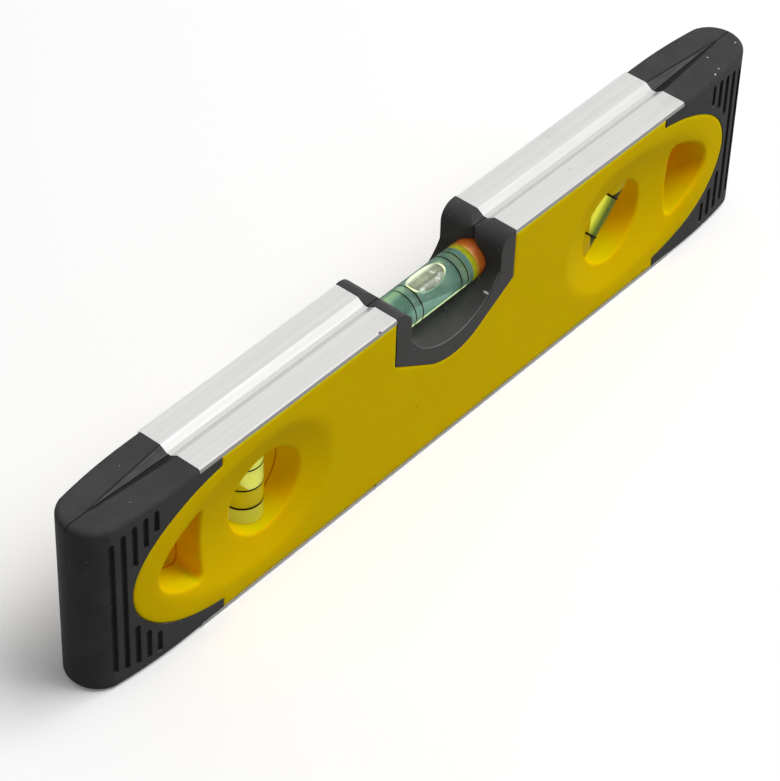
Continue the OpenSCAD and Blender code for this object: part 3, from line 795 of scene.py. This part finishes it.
def mirrored(outline):
    """The same outline at the other end, still running the same way round."""
    return (outline * (-1, 1))[::-1]


def face_points(edge, rims):
    """Flat points of a face: the rings of each rounded rim, and a grid between them."""
    turns = [math.pi / 2 * i / RIM_STEPS for i in range(RIM_STEPS + 1)]
    rings = [shifted(outline, radius * (1 - math.cos(t))) for outline, radius in rims for t in turns]
    rings += [shifted(edge, -COVER_EDGE * (1 - math.cos(t))) for t in turns[::2]]
    columns = np.arange(-GRID_HALF_L, GRID_HALF_L + 0.01, MESH_STEP)
    rows = np.arange(GRID_LOW, GRID_HIGH, ROW_STEP)
    grid = np.array([(x + (i % 2) * MESH_STEP / 2, z) for i, z in enumerate(rows) for x in columns])
    keep = inside(grid, edge) & (gap_to(grid, edge) > COVER_EDGE + MESH_GAP)
    for outline, radius in rims:
        keep &= ~inside(grid, outline) & (gap_to(grid, outline) > radius + MESH_GAP)
    return rings, grid[keep]


def flat_face(edge, rims):
    """Triangles that fill the face between its edge and its openings, as points and corners."""
    rings, grid = face_points(edge, rims)
    ring_edges = []
    start = 0
    for ring in rings:
        ring_edges += [(start + i, start + (i + 1) % len(ring)) for i in range(len(ring))]
        start += len(ring)
    points = [Vector(point) for point in np.concatenate(rings + [grid])]
    flat = delaunay_2d_cdt(points, ring_edges, [], 0, MERGE_GAP)
    spots = np.array([tuple(v) for v in flat[0]])
    corners = np.array([face for face in flat[2]])
    middles = spots[corners].mean(axis=1)
    on_face = inside(middles, edge)
    for outline, _ in rims:
        on_face &= ~inside(middles, outline)
    return spots, corners[on_face]


def cover_mesh(name, side):
    """A moulded cover: face with dishes and rounded edges, walls of its openings, plain back."""
    edge = cover_outline()
    rims = [(window_outline(), WINDOW_EDGE), (hole_outline(), HOLE_EDGE)]
    rims += [(mirrored(outline), radius) for outline, radius in rims]
    spots, corners = flat_face(edge, rims)
    depth = face_y(spots)
    for outline, radius in [(edge, COVER_EDGE)] + rims:
        depth += rounding(gap_to(spots, outline), radius)
    form = bmesh.new()
    verts = [form.verts.new((x, y, z)) for (x, z), y in zip(spots, depth)]
    for face in corners:
        form.faces.new([verts[i] for i in face])
    loose = [v for v in form.verts if not v.link_faces]
    bmesh.ops.delete(form, geom=loose, context="VERTS")
    add_walls(form, [outline for outline, _ in rims])
    bmesh.ops.recalc_face_normals(form, faces=form.faces)
    bmesh.ops.scale(form, vec=(MM, side * MM, MM), verts=form.verts)
    if side < 0:
        bmesh.ops.reverse_faces(form, faces=form.faces)
    for face in form.faces:
        face.smooth = True
    mesh = bpy.data.meshes.new(name)
    form.to_mesh(mesh)
    form.free()
    mesh.set_sharp_from_angle(angle=SHARP_ANGLE)
    return mesh


def open_loops(form):
    """Each open boundary as a list of its vertices in order."""
    edges = dict.fromkeys(e for e in form.edges if e.is_boundary)
    loops = []
    while edges:
        edge = next(iter(edges))
        del edges[edge]
        loop = list(edge.verts)
        while True:
            onward = next((e for e in loop[-1].link_edges if e in edges), None)
            if onward is None:
                break
            del edges[onward]
            loop.append(onward.other_vert(loop[-1]))
        if loop[0] is loop[-1]:
            loop.pop()
        loops.append(loop)
    return loops


def add_walls(form, openings):
    """Takes the openings back to the seam as sleeves, the outer edge to the back, and closes the back."""
    plain = [(0, COVER_BACK_Y)]
    sleeve = [
        (0, SEAM_Y - SEAM_BREAK),
        (SEAM_BREAK, SEAM_Y),
        (SLEEVE_WALL, SEAM_Y),
        (SLEEVE_WALL, COVER_BACK_Y),
    ]
    backs = []
    for loop in open_loops(form):
        spots = np.array([(v.co.x, v.co.z) for v in loop])
        on_opening = min(gap_to(spots, outline).max() for outline in openings) <= ON_EDGE
        backs.append(swept(form, loop, sleeve if on_opening else plain))
    back_edges = [form.edges.get((loop[i - 1], loop[i])) for loop in backs for i in range(len(loop))]
    bmesh.ops.triangle_fill(form, use_beauty=True, use_dissolve=False, edges=back_edges)


def swept(form, loop, steps):
    """Extends an open boundary step by step; a step is how far it grows, and its Y."""
    spots = np.array([(v.co.x, v.co.z) for v in loop])
    ahead = np.roll(spots, -1, axis=0)
    turning = (spots[:, 0] * ahead[:, 1] - ahead[:, 0] * spots[:, 1]).sum()
    if turning < 0:
        loop = loop[::-1]
        spots = spots[::-1]
    for grow, y in steps:
        row = [form.verts.new((x, y, z)) for x, z in shifted(spots, grow)]
        for i in range(len(loop)):
            form.faces.new((loop[i - 1], loop[i], row[i], row[i - 1]))
        loop = row
    return loop


def dress_covers():
    """Both covers, with the soft rims that the moulding has."""
    for name, side in (("front_cover", 1), ("rear_cover", -1)):
        cover = new_piece(f"{name}_moulding", cover_mesh(f"{name}_moulding", side), YELLOW)
        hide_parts(name)


def dress_level_vial():
    """Vial in the notch: teal liquid, a bubble, four rings and the orange stopper."""
    centre = centre_of("level_vial_tube")
    size = size_of("level_vial_tube")
    place = Matrix.Translation(centre)
    make_tube("level_tube", size.x / 2, size.z / 2, place, "level_vial_tube")
    low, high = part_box("level_vial_fluid")
    mesh = turned_mesh("level_fluid", rounded_rod(low[0], high[0] - FLUID_GAP, BORE_R, BORE_EDGE))
    fluid = new_piece("level_fluid", mesh, TEAL_FLUID, place)
    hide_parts("level_vial_fluid")
    bubble = bubble_mesh("level_bubble", BUBBLE_X, BUBBLE_HALF_L, BUBBLE_HALF_W, BUBBLE_HALF_H)
    new_piece("level_bubble", bubble, AIR, place)
    make_rings("level", LEVEL_RINGS, size.z / 2, place)


def dress_window_vial(kind, angle, rings):
    """Vial in a window: a clear body round the lime liquid, with its rings."""
    half = size_of("plumb_vial_tube").z / 2
    radius = size_of("plumb_vial_tube").x / 2
    place = Matrix.Translation(centre_of(f"{kind}_vial_tube")) @ Euler((0, angle, 0)).to_matrix().to_4x4()
    make_tube(f"{kind}_tube", half, radius, place, f"{kind}_vial_tube")
    make_rings(kind, rings, radius, place)


def dress_nodes():
    """Gives each CAD node that stays its own material."""
    looks = {
        "frame": ALUMINIUM,
        "left_cap_front": RUBBER, "left_cap_rear": RUBBER,
        "right_cap_front": RUBBER, "right_cap_rear": RUBBER,
        "notch_surround_front": SURROUND, "notch_surround_rear": SURROUND,
        "level_vial_plug": PLUG, "plumb_vial_plug": PLUG, "angle_vial_plug": PLUG,
        "plumb_vial_fluid": PLUMB_FLUID, "angle_vial_fluid": ANGLE_FLUID,
        "magnet_left": MAGNET, "magnet_middle": MAGNET, "magnet_right": MAGNET,
    }
    for name, material in looks.items():
        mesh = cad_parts[name].data
        mesh.materials.clear()
        mesh.materials.append(material)


def make_floor():
    """Wide pale floor that keeps the shadow. What only its bounce would light sees it darker."""
    look = Look("floor", Roughness=0.9, Specular_IOR_Level=0.0)
    seen = seen_directly(look.tree)
    paper = look.blend(look.noise(3), grey(0.94), grey(0.96))
    look.set(Base_Color=look.blend(seen, grey(0.3), paper), Emission_Color=grey(1.0))
    look.set(Emission_Strength=look.math("MULTIPLY", seen, 0.1))
    mesh = bpy.data.meshes.new("floor")
    corners = [(x * FLOOR_HALF, y * FLOOR_HALF, 0) for x, y in ((-1, -1), (1, -1), (1, 1), (-1, 1))]
    mesh.from_pydata(corners, [], [(0, 1, 2, 3)])
    mesh.materials.append(look.material)
    floor = bpy.data.objects.new("floor", mesh)
    floor.location.z = -FLOOR_GAP
    bpy.context.scene.collection.objects.link(floor)


def make_lamp(name, place, size, power):
    """Square lamp that points at the middle of the level."""
    data = bpy.data.lights.new(name, "AREA")
    data.shape = "SQUARE"
    data.size = size
    data.energy = power
    lamp = bpy.data.objects.new(name, data)
    lamp.location = place
    lamp.rotation_euler = (Vector((0, 0, MID_Z * MM)) - Vector(place)).to_track_quat("-Z", "Y").to_euler()
    bpy.context.scene.collection.objects.link(lamp)
    return lamp


def not_mirrored(tree, path):
    """0 for what a clear tube mirrors, and 1 for all else: the soft light leaves no glare on the tubes."""
    mirror = math_node(tree, "MULTIPLY", path.outputs["Is Singular Ray"], path.outputs["Is Reflection Ray"])
    return math_node(tree, "SUBTRACT", 1.0, mirror)


def seen_directly(tree):
    """1 for what the camera sees, also in metal and through glass, and 0 for light on its way."""
    path = tree.nodes.new("ShaderNodeLightPath")
    share = path.outputs["Is Camera Ray"]
    for name in ("Is Glossy Ray", "Is Transmission Ray"):
        share = math_node(tree, "MAXIMUM", share, path.outputs[name])
    return math_node(tree, "MULTIPLY", share, not_mirrored(tree, path))


def make_room():
    """Even white room, dimmer as a light than where it is seen."""
    world = bpy.data.worlds.new("world")
    world.use_nodes = True
    tree = world.node_tree
    tree.nodes.clear()
    output = tree.nodes.new("ShaderNodeOutputWorld")
    room = tree.nodes.new("ShaderNodeBackground")
    backdrop = tree.nodes.new("ShaderNodeBackground")
    seen = tree.nodes.new("ShaderNodeMixShader")
    for shade, strength in ((room, ROOM_LIGHT), (backdrop, 1.0)):
        shade.inputs["Color"].default_value = grey(1.0)
        shade.inputs["Strength"].default_value = strength
    tree.links.new(seen_directly(tree), seen.inputs[0])
    tree.links.new(room.outputs[0], seen.inputs[1])
    tree.links.new(backdrop.outputs[0], seen.inputs[2])
    tree.links.new(seen.outputs[0], output.inputs["Surface"])
    bpy.context.scene.world = world


def make_lamps():
    """Soft studio light: a wide lamp high on the right, and a small one lower down."""
    key = make_lamp("key", KEY_PLACE, KEY_SIZE, KEY_POWER)
    key.visible_glossy = False
    glint = make_lamp("glint", GLINT_PLACE, GLINT_SIZE, GLINT_POWER)
    glint.data.use_nodes = True
    tree = glint.data.node_tree
    path = tree.nodes.new("ShaderNodeLightPath")
    tree.links.new(not_mirrored(tree, path), tree.nodes["Emission"].inputs["Strength"])


ALUMINIUM = aluminium_look()
YELLOW = yellow_look()
RUBBER = rubber_look(
    "cap_rubber", base=0.052, gloss=0.03, low_rough=0.5, high_rough=0.62, edge=0.25 * MM, seed=0.0,
    seam_low=CAP_SEAM_Z, marks=CAP_SPECKS,
)
SURROUND = rubber_look(
    "surround_plastic", base=0.056, gloss=0.05, low_rough=0.4, high_rough=0.52, edge=0.5 * MM, seed=0.37,
    seam_low=NOTCH_SEAM_Z, marks=[NOTCH_MARK],
)
PLUG = plug_look()
MAGNET = magnet_look()
ACRYLIC = acrylic_look()
AIR = air_look()
TEAL_FLUID = teal_look()
PLUMB_FLUID = plumb_look()
ANGLE_FLUID = angle_look()
RING_PRINT = ring_look()

make_camera()
dress_nodes()
dress_covers()
dress_level_vial()
dress_window_vial("plumb", -math.pi / 2, PLUMB_RINGS)
dress_window_vial("angle", -math.pi / 4, ANGLE_RINGS)
make_floor()
make_room()
make_lamps()

bpy.context.scene.view_settings.view_transform = "Standard"
